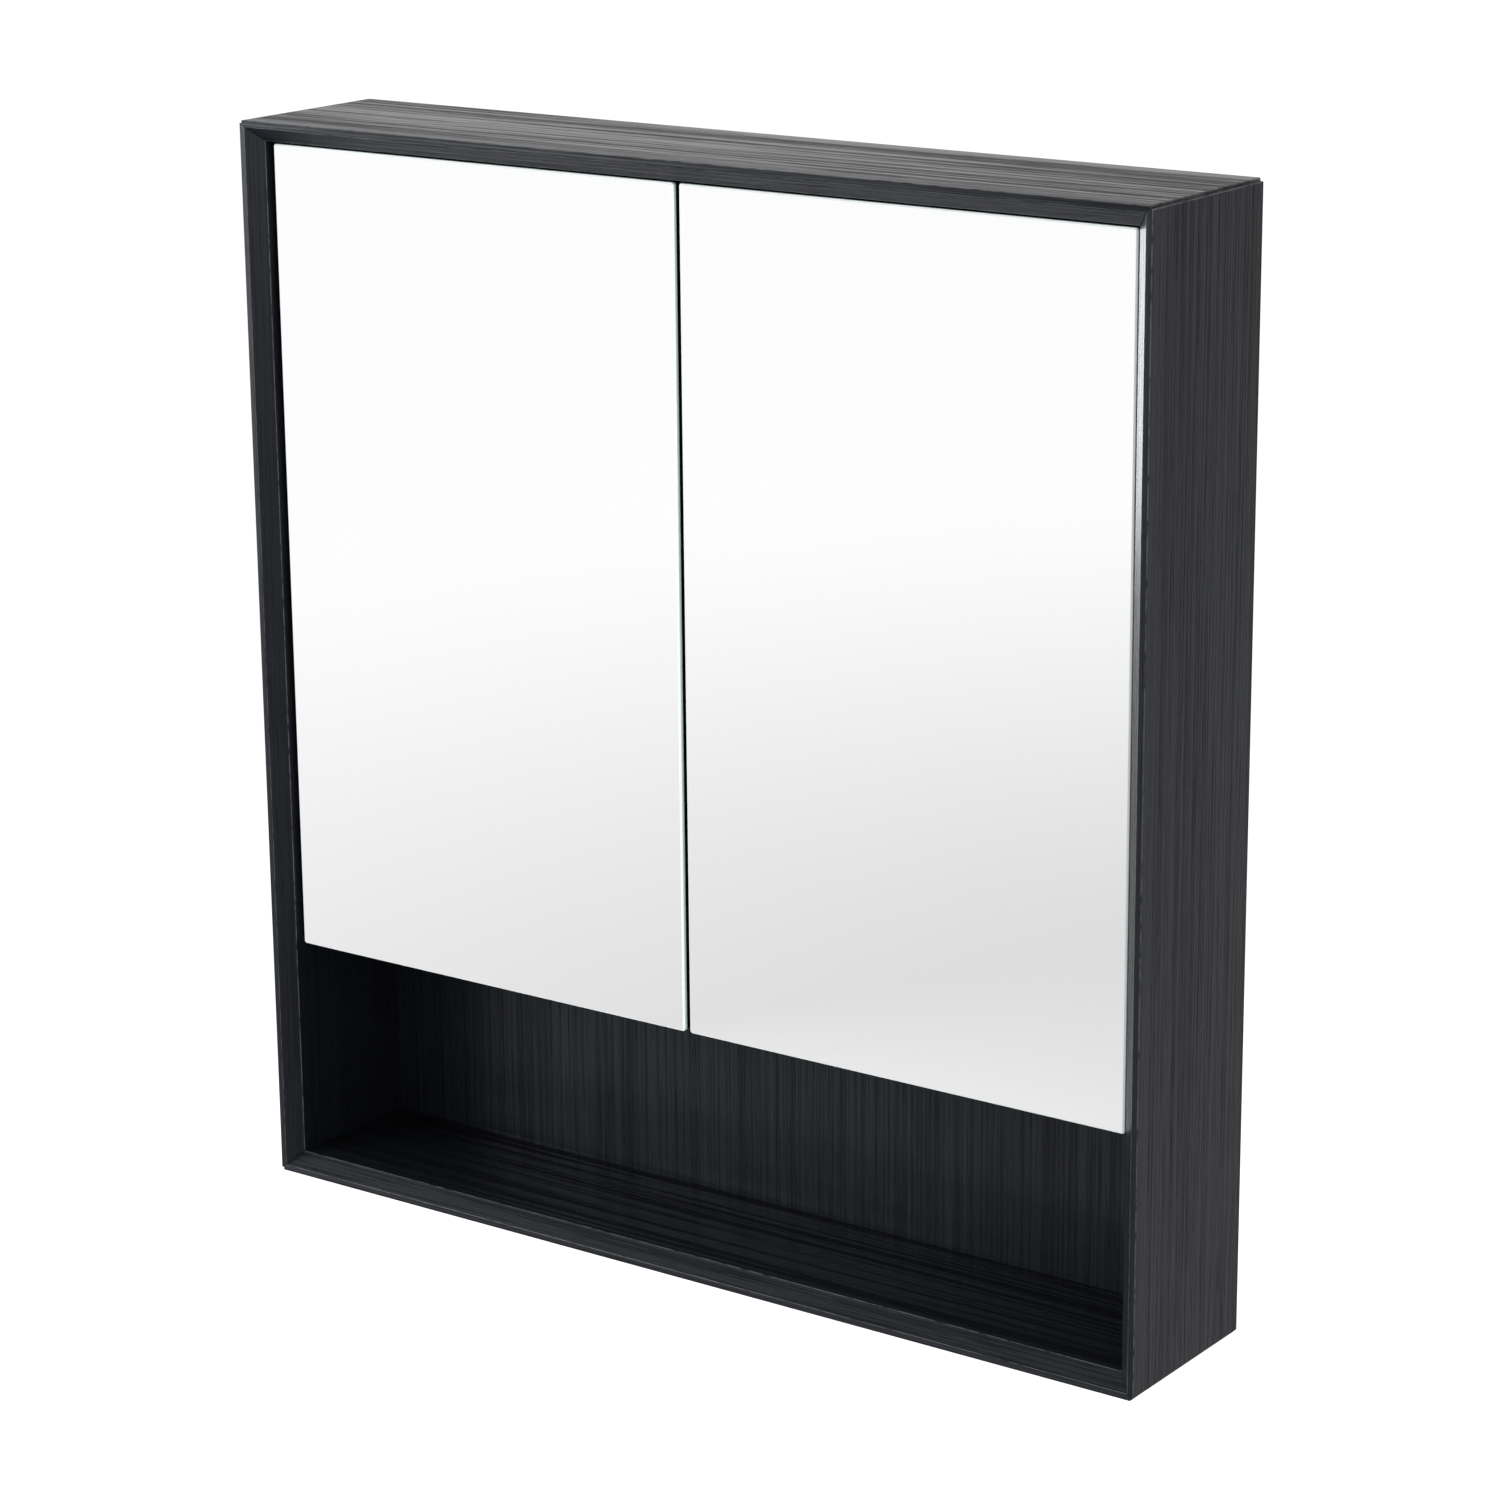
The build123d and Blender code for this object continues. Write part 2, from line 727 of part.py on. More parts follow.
# The hook: a carrier block behind the adjusting screws, a strip through the back panel and a
# tongue that drops behind the wall plate's lip
with BuildPart() as hanging_hook:
    hook_left = hook_x - hook_width / 2
    hook_right = hook_x + hook_width / 2
    block(
        hook_left,
        hook_right,
        carrier_y,
        carrier_y + carrier_depth,
        housing_middle_z - carrier_height / 2,
        housing_middle_z + carrier_height / 2,
    )
    block(
        hook_left,
        hook_right,
        carrier_y + carrier_depth,
        -hook_wall_gap,
        wall_plate_lip,
        wall_plate_lip + hook_thickness,
    )
    block(
        hook_left,
        hook_right,
        -hook_wall_gap - wall_plate_thickness,
        -hook_wall_gap,
        wall_plate_lip - hook_tongue,
        wall_plate_lip,
    )
    add(adjust_screws, mode=Mode.SUBTRACT)
save_pair(hanging_hook.part, "hanging_hook")

with BuildPart() as wall_plate:
    with BuildSketch(Plane.YZ.offset(hook_x - wall_plate_width / 2)):
        with BuildLine():
            Polyline(
                (-wall_plate_thickness / 2, wall_plate_bottom),
                (-wall_plate_thickness / 2, wall_plate_bend),
                (-wall_plate_thickness / 2 - wall_plate_step, wall_plate_bend + wall_plate_step),
                (-wall_plate_thickness / 2 - wall_plate_step, wall_plate_lip),
            )
        trace(line_width=wall_plate_thickness)
    extrude(amount=wall_plate_width)
    with BuildSketch(depth_plane(0)):
        with Locations((hook_x, wall_screw_spacing / 2), (hook_x, -wall_screw_spacing / 2)):
            Circle(wall_screw_radius)
    extrude(amount=wall_plate_thickness, mode=Mode.SUBTRACT)
save_pair(wall_plate.part, "wall_plate")
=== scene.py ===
"""Bevelled black ash mirror cabinet: a finish for every piece of it, and a pale studio.

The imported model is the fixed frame, and this script adds no pieces to it. Everything here is in
metres in that frame: X runs to the right, Y towards the wall and Z up, and the mirrors face -Y.
"""

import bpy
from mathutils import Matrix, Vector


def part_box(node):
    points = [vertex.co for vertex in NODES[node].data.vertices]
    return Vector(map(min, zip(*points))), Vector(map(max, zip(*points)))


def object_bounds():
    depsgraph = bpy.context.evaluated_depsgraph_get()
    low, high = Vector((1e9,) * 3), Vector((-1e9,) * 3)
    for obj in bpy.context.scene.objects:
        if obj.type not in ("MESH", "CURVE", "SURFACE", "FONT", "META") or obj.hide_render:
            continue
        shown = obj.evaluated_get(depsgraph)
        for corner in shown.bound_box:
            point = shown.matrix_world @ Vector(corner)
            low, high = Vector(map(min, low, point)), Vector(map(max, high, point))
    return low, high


bl_info = {
    "name": "Mirror Cabinet",
    "version": (1, 0, 0),
    "blender": (4, 5, 0),
    "location": "3D View > Sidebar > Cabinet",
    "description": "Finishes a bevelled black ash mirror cabinet and lights it in a pale studio",
    "category": "Object",
}

from math import cos, radians, sin

import bpy
import numpy as np
from bpy.props import FloatProperty, FloatVectorProperty, PointerProperty
from mathutils import Matrix, Vector

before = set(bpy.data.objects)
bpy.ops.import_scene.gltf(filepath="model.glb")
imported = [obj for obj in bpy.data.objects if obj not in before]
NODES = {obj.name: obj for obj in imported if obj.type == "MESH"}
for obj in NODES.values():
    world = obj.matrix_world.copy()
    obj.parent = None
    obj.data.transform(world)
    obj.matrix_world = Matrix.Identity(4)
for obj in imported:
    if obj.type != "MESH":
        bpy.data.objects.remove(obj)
CAD_LOW, CAD_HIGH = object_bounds()
SIDES = ("left", "right")
ALONG_X = 0
ALONG_Y = 1
ALONG_Z = 2
MM = 0.001

# The thin satin lacquer over the stained ash
LACQUER = {"Specular_IOR_Level": 0.05, "Coat_Roughness": 0.22, "Coat_IOR": 1.42}

# How far each piece's figure is shifted along X, Y and Z for one step of its number, and where it wraps
SEED_STEPS = (0.37, 0.61, 0.83)
SEED_WRAPS = (7.0, 5.0, 9.0)

# Colours of the small and hidden finishes, which the sidebar doesn't list
FIBREBOARD = (0.030, 0.028, 0.027)
FIBREBOARD_FLECK = (0.062, 0.056, 0.052)
FIBREBOARD_CLOUD = (0.022, 0.021, 0.021)
MIRROR_EDGE_FRONT = (0.80, 0.83, 0.82)
MIRROR_EDGE_REAR = (0.42, 0.52, 0.49)
BACKING_PAINT_DARK = (0.10, 0.11, 0.12)
BACKING_PAINT_PALE = (0.17, 0.18, 0.19)
SHELF_EDGE = (0.62, 0.86, 0.78)
PLASTIC_DARK = (0.018, 0.018, 0.019)
PLASTIC_PALE = (0.034, 0.034, 0.036)
PLASTIC_DUST = (0.07, 0.07, 0.07)
BEECH_DARK = (0.50, 0.33, 0.19)
BEECH_PALE = (0.66, 0.48, 0.31)
BEECH_FLECK = (0.30, 0.17, 0.09)
SILICONE_CLOUDED = (0.80, 0.81, 0.80)
SILICONE_CLEAR = (0.90, 0.90, 0.88)
SILICONE_DUST = (0.55, 0.54, 0.52)

# The studio's paper floor: a painted shade, a greyer round patch in front of the cabinet, pale further
# out
PAPER_PAINTED_SHADE = (0.58, 0.58, 0.58)
PAPER_FAR = (0.95, 0.95, 0.95)
PAPER_FIBRE = (0.85, 0.85, 0.85)
SHADE_PATCH_ACROSS = 0.5
SHADE_PATCH_IN_FRONT = 3.0
SHADE_PATCH_INNER_RADIUS = 0.8
SHADE_PATCH_OUTER_RADIUS = 6.0
FLOOR_REACH = 60.0

# Each soft light: where it stands, the point it looks at, and its width and height.
# Its power is the studio setting of the same name.
SOFT_LIGHTS = {
    "key": {"place": (-3.0, -1.6, -0.15), "target": (0, 0, -0.15), "width": 1.6, "height": 1.7},
    "right": {"place": (2.3, -1.93, 0.15), "target": (0, 0, 0.15), "width": 1.2, "height": 1.2},
    "front": {"place": (-1.85, -2.36, 0.32), "target": (0, 0, 0.32), "width": 1.2, "height": 1.2},
    "overhead": {"place": (-1.6, 1.4, 1.9), "target": (-0.1, 0, 0), "width": 1.6, "height": 1.6},
}
LAMP_COLOUR = (0.96, 0.98, 1.0)
ROOM_COLOUR = (1.0, 1.0, 1.0, 1.0)
SENSOR_WIDTH = 36.0


# ---------------------------------------------------------------- sizes and colours to change
class CabinetColours(bpy.types.PropertyGroup):
    """Colours of the cabinet's own finishes."""

    stain: FloatVectorProperty(
        name="Stain",
        description="Colour of the stained ash between its pores",
        subtype="COLOR",
        size=3,
        min=0,
        max=1,
        default=(0.0046, 0.0054, 0.0080),
    )
    pore: FloatVectorProperty(
        name="Pores",
        description="Colour that gathers in the open pores",
        subtype="COLOR",
        size=3,
        min=0,
        max=1,
        default=(0.0015, 0.0016, 0.0020),
    )
    # Partly real wear and partly a painted highlight: this pale grey lightens the rounded arrises where
    # light would catch them.
    worn_and_highlight: FloatVectorProperty(
        name="Worn arris",
        description="Colour where the lacquer is thin on a rounded arris",
        subtype="COLOR",
        size=3,
        min=0,
        max=1,
        default=(0.13, 0.132, 0.14),
    )
    silver: FloatVectorProperty(
        name="Silvering",
        description="Tint of the mirror's silver",
        subtype="COLOR",
        size=3,
        min=0,
        max=1,
        default=(0.94, 0.94, 0.942),
    )
    glass: FloatVectorProperty(
        name="Glass",
        description="Tint of the clear shelves",
        subtype="COLOR",
        size=3,
        min=0,
        max=1,
        default=(0.955, 0.985, 0.972),
    )
    nickel: FloatVectorProperty(
        name="Nickel",
        description="Colour of the plated hinges and screws",
        subtype="COLOR",
        size=3,
        min=0,
        max=1,
        default=(0.62, 0.60, 0.57),
    )
    zinc: FloatVectorProperty(
        name="Zinc",
        description="Colour of the wall plates and hooks",
        subtype="COLOR",
        size=3,
        min=0,
        max=1,
        default=(0.55, 0.57, 0.60),
    )


class CabinetSizes(bpy.types.PropertyGroup):
    """Sizes of the ash's grain."""

    pore_width: FloatProperty(
        name="Pore width",
        description="Width of one pore across the grain",
        unit="LENGTH",
        min=0.0002,
        default=0.55 * MM,
    )
    pore_length: FloatProperty(
        name="Pore length",
        description="Length of one pore along the grain",
        unit="LENGTH",
        min=0.002,
        default=60 * MM,
    )
    streak_width: FloatProperty(
        name="Streak width",
        description="Width of one dark or pale streak across the grain",
        unit="LENGTH",
        min=0.0002,
        default=1.2 * MM,
    )
    ring_width: FloatProperty(
        name="Ring width",
        description="Distance between two growth rings on the face of the veneer",
        unit="LENGTH",
        min=0.001,
        default=2.2 * MM,
    )


class StudioSettings(bpy.types.PropertyGroup):
    """The camera and the light around the cabinet."""

    camera_place: FloatVectorProperty(
        name="Camera place",
        description="Where the camera stands",
        subtype="TRANSLATION",
        unit="LENGTH",
        size=3,
        default=(1.8276, -2.5919, 0.5084),
    )
    camera_heading: FloatProperty(
        name="Camera heading",
        description="Turn of the camera about the vertical, to the left of straight ahead",
        subtype="ANGLE",
        default=radians(35.7),
    )
    camera_tilt: FloatProperty(
        name="Camera tilt",
        description="Downward tilt of the camera",
        subtype="ANGLE",
        default=radians(15.865),
    )
    camera_roll: FloatProperty(
        name="Camera roll",
        description="Turn of the camera about its own axis",
        subtype="ANGLE",
        default=radians(-0.528),
    )
    camera_lens: FloatProperty(
        name="Lens",
        description="Focal length on a 36 mm sensor",
        subtype="DISTANCE_CAMERA",
        min=1,
        default=103.83,
    )
    floor_drop: FloatProperty(
        name="Floor drop",
        description="From the underside of the cabinet down to the floor",
        unit="LENGTH",
        min=0,
        default=1.1,
    )
    sky: FloatProperty(
        name="Room light",
        description="Strength of the even white light from all round",
        min=0,
        default=1.1,
    )
    key: FloatProperty(
        name="Key light",
        description="Power of the tall soft light at the left",
        subtype="POWER",
        min=0,
        default=100.0,
    )
    front: FloatProperty(
        name="Front light",
        description="Power of the soft light high at the front left",
        subtype="POWER",
        min=0,
        default=50.0,
    )
    right: FloatProperty(
        name="Right light",
        description="Power of the small soft light at the front right",
        subtype="POWER",
        min=0,
        default=20.0,
    )
    overhead: FloatProperty(
        name="Overhead light",
        description="Power of the soft light above and behind the cabinet",
        subtype="POWER",
        min=0,
        default=14.0,
    )


def colours():
    """The finish colours of the open scene."""
    return bpy.context.scene.cabinet_colours


def sizes():
    """The grain sizes of the open scene."""
    return bpy.context.scene.cabinet_sizes


# ---------------------------------------------------------------- shader maths
class Level:
    """A number that changes over a surface. Python arithmetic on it adds the Math nodes."""

    def __init__(self, finish, socket):
        self.finish = finish
        self.socket = socket

    def math(self, operation, *values):
        """One Math node of that operation on the values."""
        inputs = dict(enumerate(values))
        return self.finish.level("ShaderNodeMath", {"operation": operation}, inputs)

    def __add__(self, other):
        return self.math("ADD", self, other)

    def __radd__(self, other):
        return self.math("ADD", other, self)

    def __sub__(self, other):
        return self.math("SUBTRACT", self, other)

    def __rsub__(self, other):
        return self.math("SUBTRACT", other, self)

    def __mul__(self, other):
        return self.math("MULTIPLY", self, other)

    def __rmul__(self, other):
        return self.math("MULTIPLY", other, self)

    def __pow__(self, other):
        return self.math("POWER", abs(self), other)

    def __abs__(self):
        return self.math("ABSOLUTE", self)

    def larger(self, other):
        """The larger of the two."""
        return self.math("MAXIMUM", self, other)

    def step(self, low, high):
        """0 below low and 1 above high, with a smooth rise between them."""
        settings = {"interpolation_type": "SMOOTHSTEP"}
        inputs = {"Value": self, "From Min": low, "From Max": high}
        return self.finish.level("ShaderNodeMapRange", settings, inputs)


class Finish:
    """A material being made: one Principled shader and what feeds it."""

    def __init__(self, name, **constants):
        self.material = bpy.data.materials.new(name)
        self.material.use_nodes = True
        self.tree = self.material.node_tree
        self.shader = self.tree.nodes["Principled BSDF"]
        for socket, value in constants.items():
            self.shader.inputs[socket.replace("_", " ")].default_value = value

    def add(self, kind, settings=None, inputs=None):
        """A node of that type, with its settings made first and then its sockets."""
        node = self.tree.nodes.new(kind)
        for key, value in (settings or {}).items():
            setattr(node, key, value)
        for socket, value in (inputs or {}).items():
            self.feed(node.inputs[socket], value)
        return node

    def feed(self, socket, value):
        """Links a level to the socket, or sets a plain value on it."""
        if isinstance(value, Level):
            self.tree.links.new(value.socket, socket)
        else:
            socket.default_value = value

    def level(self, kind, settings=None, inputs=None, output=0):
        """One output of a new node."""
        return Level(self, self.add(kind, settings, inputs).outputs[output])

    def place(self, output="Object"):
        """The piece's own coordinates, or its own normal."""
        return self.level("ShaderNodeTexCoord", output=output)

    def axes(self, vector):
        """The X, Y and Z of a vector as three levels."""
        parts = self.add("ShaderNodeSeparateXYZ", inputs={0: vector})
        return [Level(self, output) for output in parts.outputs]

    def mapped(self, vector, scale, shift=(0, 0, 0)):
        """The vector scaled on each axis, then shifted."""
        inputs = {"Vector": vector, "Scale": scale, "Location": shift}
        return self.level("ShaderNodeMapping", inputs=inputs)

    def noise(self, vector, scale=1.0, detail=2.0, roughness=0.5, distortion=0.0):
        """Soft noise around 0.5."""
        inputs = {
            "Vector": vector,
            "Scale": scale,
            "Detail": detail,
            "Roughness": roughness,
            "Distortion": distortion,
        }
        return self.level("ShaderNodeTexNoise", inputs=inputs)

    def mix(self, factor, first, second):
        """A colour between two colours, which a Mix node takes in its sockets 6 and 7."""
        settings = {"data_type": "RGBA"}
        inputs = {0: factor, 6: solid(first), 7: solid(second)}
        return self.level("ShaderNodeMix", settings, inputs, output=2)

    def bump(self, height, distance, strength=1.0, normal=None):
        """A normal bent by a height."""
        inputs = {"Height": height, "Distance": distance, "Strength": strength}
        if normal is not None:
            inputs["Normal"] = normal
        return self.level("ShaderNodeBump", inputs=inputs)

    def finish(self, **levels):
        """Feeds the shader's sockets and gives the material."""
        for socket, value in levels.items():
            self.feed(self.shader.inputs[socket.replace("_", " ")], value)
        return self.material


def solid(colour):
    """A colour with full alpha, or the level as it is."""
    if isinstance(colour, Level):
        return colour
    return (*tuple(colour)[:3], 1.0)


def shaded(colour, share):
    """The colour made lighter or darker by a share."""
    return tuple(part * share for part in tuple(colour)[:3])


def dress(name, material):
    """Gives a CAD node one material."""
    slots = NODES[name].data.materials
    slots.clear()
    slots.append(material)


def piece_seed(name):
    """A fixed shift for each piece, so that no two boards show the same figure."""
    number = sum((place + 1) * ord(letter) for place, letter in enumerate(name))
    return tuple((number * step) % wrap for step, wrap in zip(SEED_STEPS, SEED_WRAPS))


# ---------------------------------------------------------------- black ash
def grain_scale(axis, along, across):
    """Repeats per metre along the grain's axis and across it."""
    return tuple(along if number == axis else across for number in range(3))


def ash_layers(made, name, axis, contrast, spread=1.0):
    """Tint, roughness, height and lacquer share of black-stained ash with its grain along one axis.

    Growth rings run the length of the board. Their early wood is dark and porous and takes little
    lacquer, and the late wood between is smoother and shines. Fine fibres roughen both across the
    grain. The contrast is how much lacquer and tint the early wood loses, and the spread
    widens the rings where the saw met them at a slant.
    """
    size = sizes()
    colour = colours()
    place = made.place()
    shift = piece_seed(name)
    drift_scale = grain_scale(axis, along=1.3, across=9.0)
    ring_scale = grain_scale(axis, along=1.6, across=1.0 / (spread * size.ring_width))
    streak_scale = grain_scale(axis, along=9.0, across=1.0 / size.streak_width)
    pore_scale = grain_scale(axis, along=1.0 / size.pore_length, across=1.0 / size.pore_width)
    fibre_scale = grain_scale(axis, along=14.0, across=1500.0)

    drift = made.noise(made.mapped(place, drift_scale, shift), detail=3.0)
    rings = made.noise(made.mapped(place, ring_scale, shift), detail=1.0, distortion=0.25)
    streaks = made.noise(made.mapped(place, streak_scale, shift), detail=4.0, roughness=0.7)
    early = (0.6 * rings + 0.4 * streaks).step(0.47, 0.54)
    pores = made.noise(made.mapped(place, pore_scale, shift), detail=2.0, roughness=0.65)
    open_pores = pores.step(0.48, 0.60) * (0.4 + 0.6 * early)
    fibre = made.noise(made.mapped(place, fibre_scale, shift), roughness=0.7)
    dust = made.noise(place, scale=900.0)

    tint = made.mix(drift.step(0.3, 0.7), shaded(colour.stain, 0.8), shaded(colour.stain, 1.3))
    tint = made.mix(streaks.step(0.42, 0.66) * 0.5, tint, shaded(colour.stain, 2.2))
    tint = made.mix(early * contrast, tint, shaded(colour.stain, 0.5))
    tint = made.mix(open_pores * 0.8, tint, colour.pore)
    gloss = 0.46 + 0.16 * open_pores + 0.12 * (fibre - 0.5) + 0.10 * (drift - 0.5)
    height = 0.5 * fibre - 0.6 * early - open_pores + 0.08 * dust
    film = (1.0 - contrast * early) * (1.0 - contrast * open_pores) * (0.7 + 0.6 * drift)
    return tint, gloss, height, film


def ash(name, axis, contrast=0.45, lacquer=0.25, spread=1.0):
    """Black-stained ash with a thin satin lacquer, worn through a little on its rounded arrises, which
    also carry a painted highlight.
    """
    made = Finish(f"black_ash_{name}", **LACQUER)
    tint, gloss, height, film = ash_layers(made, name, axis, contrast, spread)

    # A rounded arris faces between two axes, but no bevel lies in this range of angles.
    normal_x, normal_y, normal_z = made.axes(made.place("Normal"))
    facing = abs(normal_x).larger(abs(normal_y)).larger(abs(normal_z))
    arris = facing.step(0.73, 0.78) * (1.0 - facing.step(0.965, 0.99))
    # The arrises are lightened partly as real wear and partly as a painted highlight, a pale line where
    # light would catch the rounded edge.
    rubbed_and_highlight = arris * made.noise(made.place(), scale=120.0, detail=3.0).step(0.25, 0.6)
    tint = made.mix(rubbed_and_highlight * 0.5, tint, colours().worn_and_highlight)
    normal = made.bump(height, distance=0.2 * MM)
    return made.finish(Base_Color=tint, Roughness=gloss, Coat_Weight=lacquer * film, Normal=normal)


def rear_board(name):
    """The back panel: ash veneer inside the cabinet, and dark fibreboard towards the wall."""
    made = Finish(f"back_board_{name}", **LACQUER)
    veneer, gloss, height, film = ash_layers(made, name, axis=ALONG_Z, contrast=0.4)
    place = made.place()
    flecks = made.noise(place, scale=340.0, detail=5.0, roughness=0.7)
    clouds = made.noise(place, scale=7.0, detail=3.0)
    board = made.mix(flecks.step(0.35, 0.7), FIBREBOARD, FIBREBOARD_FLECK)
    board = made.mix(clouds.step(0.4, 0.75) * 0.35, board, FIBREBOARD_CLOUD)

    _, normal_y, _ = made.axes(made.place("Normal"))
    rear = normal_y.step(0.3, 0.7)
    front = 1.0 - rear
    tint = made.mix(rear, veneer, board)
    gloss = front * gloss + rear * (0.66 + 0.14 * (flecks - 0.5))
    lacquer = 0.36 * front * film
    normal = made.bump(front * height + rear * flecks, distance=0.15 * MM)
    return made.finish(Base_Color=tint, Roughness=gloss, Coat_Weight=lacquer, Normal=normal)


# ---------------------------------------------------------------- glass
def mirror_glass(name):
    """Silvered glass: bright face, pale ground edges, and grey backing paint at the rear."""
    made = Finish(f"mirror_{name}", Specular_IOR_Level=0.6)
    colour = colours()
    low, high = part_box(name)
    place = made.place()
    _, depth, _ = made.axes(place)
    _, normal_y, _ = made.axes(made.place("Normal"))
    face = 1.0 - depth.step(low.y + 0.02 * MM, low.y + 0.08 * MM)
    silvered = face * (1.0 - normal_y.step(-0.97, -0.9))
    rear = normal_y.step(0.6, 0.9)
    bloom = made.noise(place, scale=5.0, detail=3.0)
    wipe = made.noise(made.mapped(place, (3.0, 3.0, 11.0)), detail=4.0, roughness=0.6)
    paint = made.noise(place, scale=500.0, detail=4.0)

    edge = made.mix(depth.step(low.y, high.y), MIRROR_EDGE_FRONT, MIRROR_EDGE_REAR)
    bloomed = shaded(colour.silver, 0.985)
    silver = made.mix(bloom.step(0.35, 0.75) * 0.25, colour.silver, bloomed)
    backing = made.mix(paint, BACKING_PAINT_DARK, BACKING_PAINT_PALE)
    tint = made.mix(silvered, edge, silver)
    tint = made.mix(rear, tint, backing)
    metal = (1.0 - rear) * silvered
    gloss = 0.016 + 0.012 * wipe.step(0.5, 0.8) + 0.10 * (1.0 - silvered) + 0.4 * rear
    normal = made.bump(rear * paint, distance=0.05 * MM)
    return made.finish(Base_Color=tint, Metallic=metal, Roughness=gloss, Normal=normal)


def shelf_glass(name):
    """Clear float glass with a green cast at its polished edges and a few wipe marks."""
    made = Finish(f"clear_glass_{name}", IOR=1.52, Transmission_Weight=1.0)
    colour = colours()
    place = made.place()
    _, _, normal_z = made.axes(made.place("Normal"))
    edge = 1.0 - abs(normal_z).step(0.4, 0.8)
    wiped = made.mapped(place, (9.0, 30.0, 1.0), piece_seed(name))
    wipe = made.noise(wiped, detail=4.0, roughness=0.6)
    specks = made.noise(place, scale=700.0, detail=1.0).step(0.72, 0.8)
    tint = made.mix(edge, colour.glass, SHELF_EDGE)
    gloss = 0.015 + 0.05 * wipe.step(0.55, 0.8) + 0.12 * specks + 0.05 * edge
    return made.finish(Base_Color=tint, Roughness=gloss)


# ---------------------------------------------------------------- metal, plastic and raw wood
def plated(name, colour, roughness, spangle):
    """Plated pressed steel: fine drawing marks, small scratches and cloudy patches."""
    made = Finish(f"plated_{name}", Metallic=1.0)
    place = made.place()
    shift = piece_seed(name)
    drawn = made.noise(made.mapped(place, (2600.0, 160.0, 160.0), shift), detail=2.0)
    clouds = made.noise(place, scale=90.0, detail=4.0, roughness=0.6)
    cells = made.level(
        "ShaderNodeTexVoronoi",
        {"feature": "F1"},
        {"Vector": place, "Scale": 380.0, "Randomness": 1.0},
        output="Distance",
    )
    scratches = made.noise(made.mapped(place, (70.0, 4200.0, 900.0), shift), detail=1.0)
    scratch = scratches.step(0.68, 0.74)
    tint = made.mix(clouds.step(0.35, 0.7), shaded(colour, 0.86), shaded(colour, 1.08))
    tint = made.mix(cells.step(0.2, 0.9) * spangle, tint, shaded(colour, 1.25))
    tint = made.mix(scratch * 0.35, tint, shaded(colour, 0.6))
    gloss = roughness + 0.12 * (clouds - 0.5) + 0.08 * (drawn - 0.5)
    gloss = gloss + 0.10 * scratch + 0.08 * spangle * cells
    normal = made.bump(drawn * 0.4 - scratch + spangle * cells * 0.6, distance=0.02 * MM)
    return made.finish(Base_Color=tint, Roughness=gloss, Normal=normal)


def moulded(name):
    """Moulded black plastic with a fine spark-eroded texture and a little dust."""
    made = Finish(f"black_plastic_{name}", Specular_IOR_Level=0.45)
    place = made.place()
    texture = made.noise(place, scale=1800.0, detail=3.0, roughness=0.6)
    flow = made.noise(made.mapped(place, (30.0, 12.0, 60.0)), detail=3.0)
    tint = made.mix(flow.step(0.35, 0.7), PLASTIC_DARK, PLASTIC_PALE)
    tint = made.mix(texture.step(0.62, 0.8) * 0.3, tint, PLASTIC_DUST)
    gloss = 0.52 + 0.14 * (texture - 0.5) + 0.08 * (flow - 0.5)
    normal = made.bump(texture, distance=0.06 * MM)
    return made.finish(Base_Color=tint, Roughness=gloss, Normal=normal)


def raw_wood(name, axis):
    """Unfinished beech: pale, close-grained, with short brown flecks."""
    made = Finish(f"raw_beech_{name}", Specular_IOR_Level=0.3)
    place = made.place()
    shift = piece_seed(name)
    line_scale = grain_scale(axis, along=25.0, across=500.0)
    fleck_scale = grain_scale(axis, along=220.0, across=1500.0)
    grain = made.noise(made.mapped(place, line_scale, shift), detail=3.0)
    flecks = made.noise(made.mapped(place, fleck_scale, shift), detail=1.0).step(0.62, 0.7)
    tint = made.mix(grain.step(0.3, 0.7), BEECH_DARK, BEECH_PALE)
    tint = made.mix(flecks * 0.6, tint, BEECH_FLECK)
    gloss = 0.62 + 0.12 * (grain - 0.5) + 0.08 * flecks
    normal = made.bump(grain - flecks * 0.5, distance=0.08 * MM)
    return made.finish(Base_Color=tint, Roughness=gloss, Normal=normal)


def silicone(name):
    """Soft clear silicone with trapped haze and a dusty rim."""
    made = Finish(f"silicone_{name}", IOR=1.41, Transmission_Weight=0.55, Subsurface_Weight=0.15)
    place = made.place()
    haze = made.noise(place, scale=600.0, detail=3.0)
    dust = made.noise(place, scale=2600.0, detail=2.0).step(0.6, 0.75)
    tint = made.mix(haze.step(0.35, 0.7), SILICONE_CLOUDED, SILICONE_CLEAR)
    tint = made.mix(dust * 0.3, tint, SILICONE_DUST)
    gloss = 0.28 + 0.12 * (haze - 0.5) + 0.25 * dust
    normal = made.bump(haze, distance=0.03 * MM)
    return made.finish(Base_Color=tint, Roughness=gloss, Normal=normal)


# ---------------------------------------------------------------- operators
class CABINET_OT_frame(bpy.types.Operator):
    """Veneers the frame boards and finishes the solid lippings"""

    bl_idname = "cabinet.frame"
    bl_label = "Ash frame"

    def execute(self, context):
        for end in ("top", "bottom"):
            panel = f"{end}_panel"
            lipping = f"{end}_lipping"
            dress(panel, ash(panel, ALONG_X, contrast=0.85, lacquer=0.52, spread=2.2))
            dress(lipping, ash(lipping, ALONG_X, contrast=0.5, lacquer=0.33))
        for side in SIDES:
            panel = f"{side}_side_panel"
            lipping = f"{side}_side_lipping"
            dress(panel, ash(panel, ALONG_Z))
            dress(lipping, ash(lipping, ALONG_Z, contrast=0.15))
        dress("back_panel", rear_board("back_panel"))
        return {"FINISHED"}


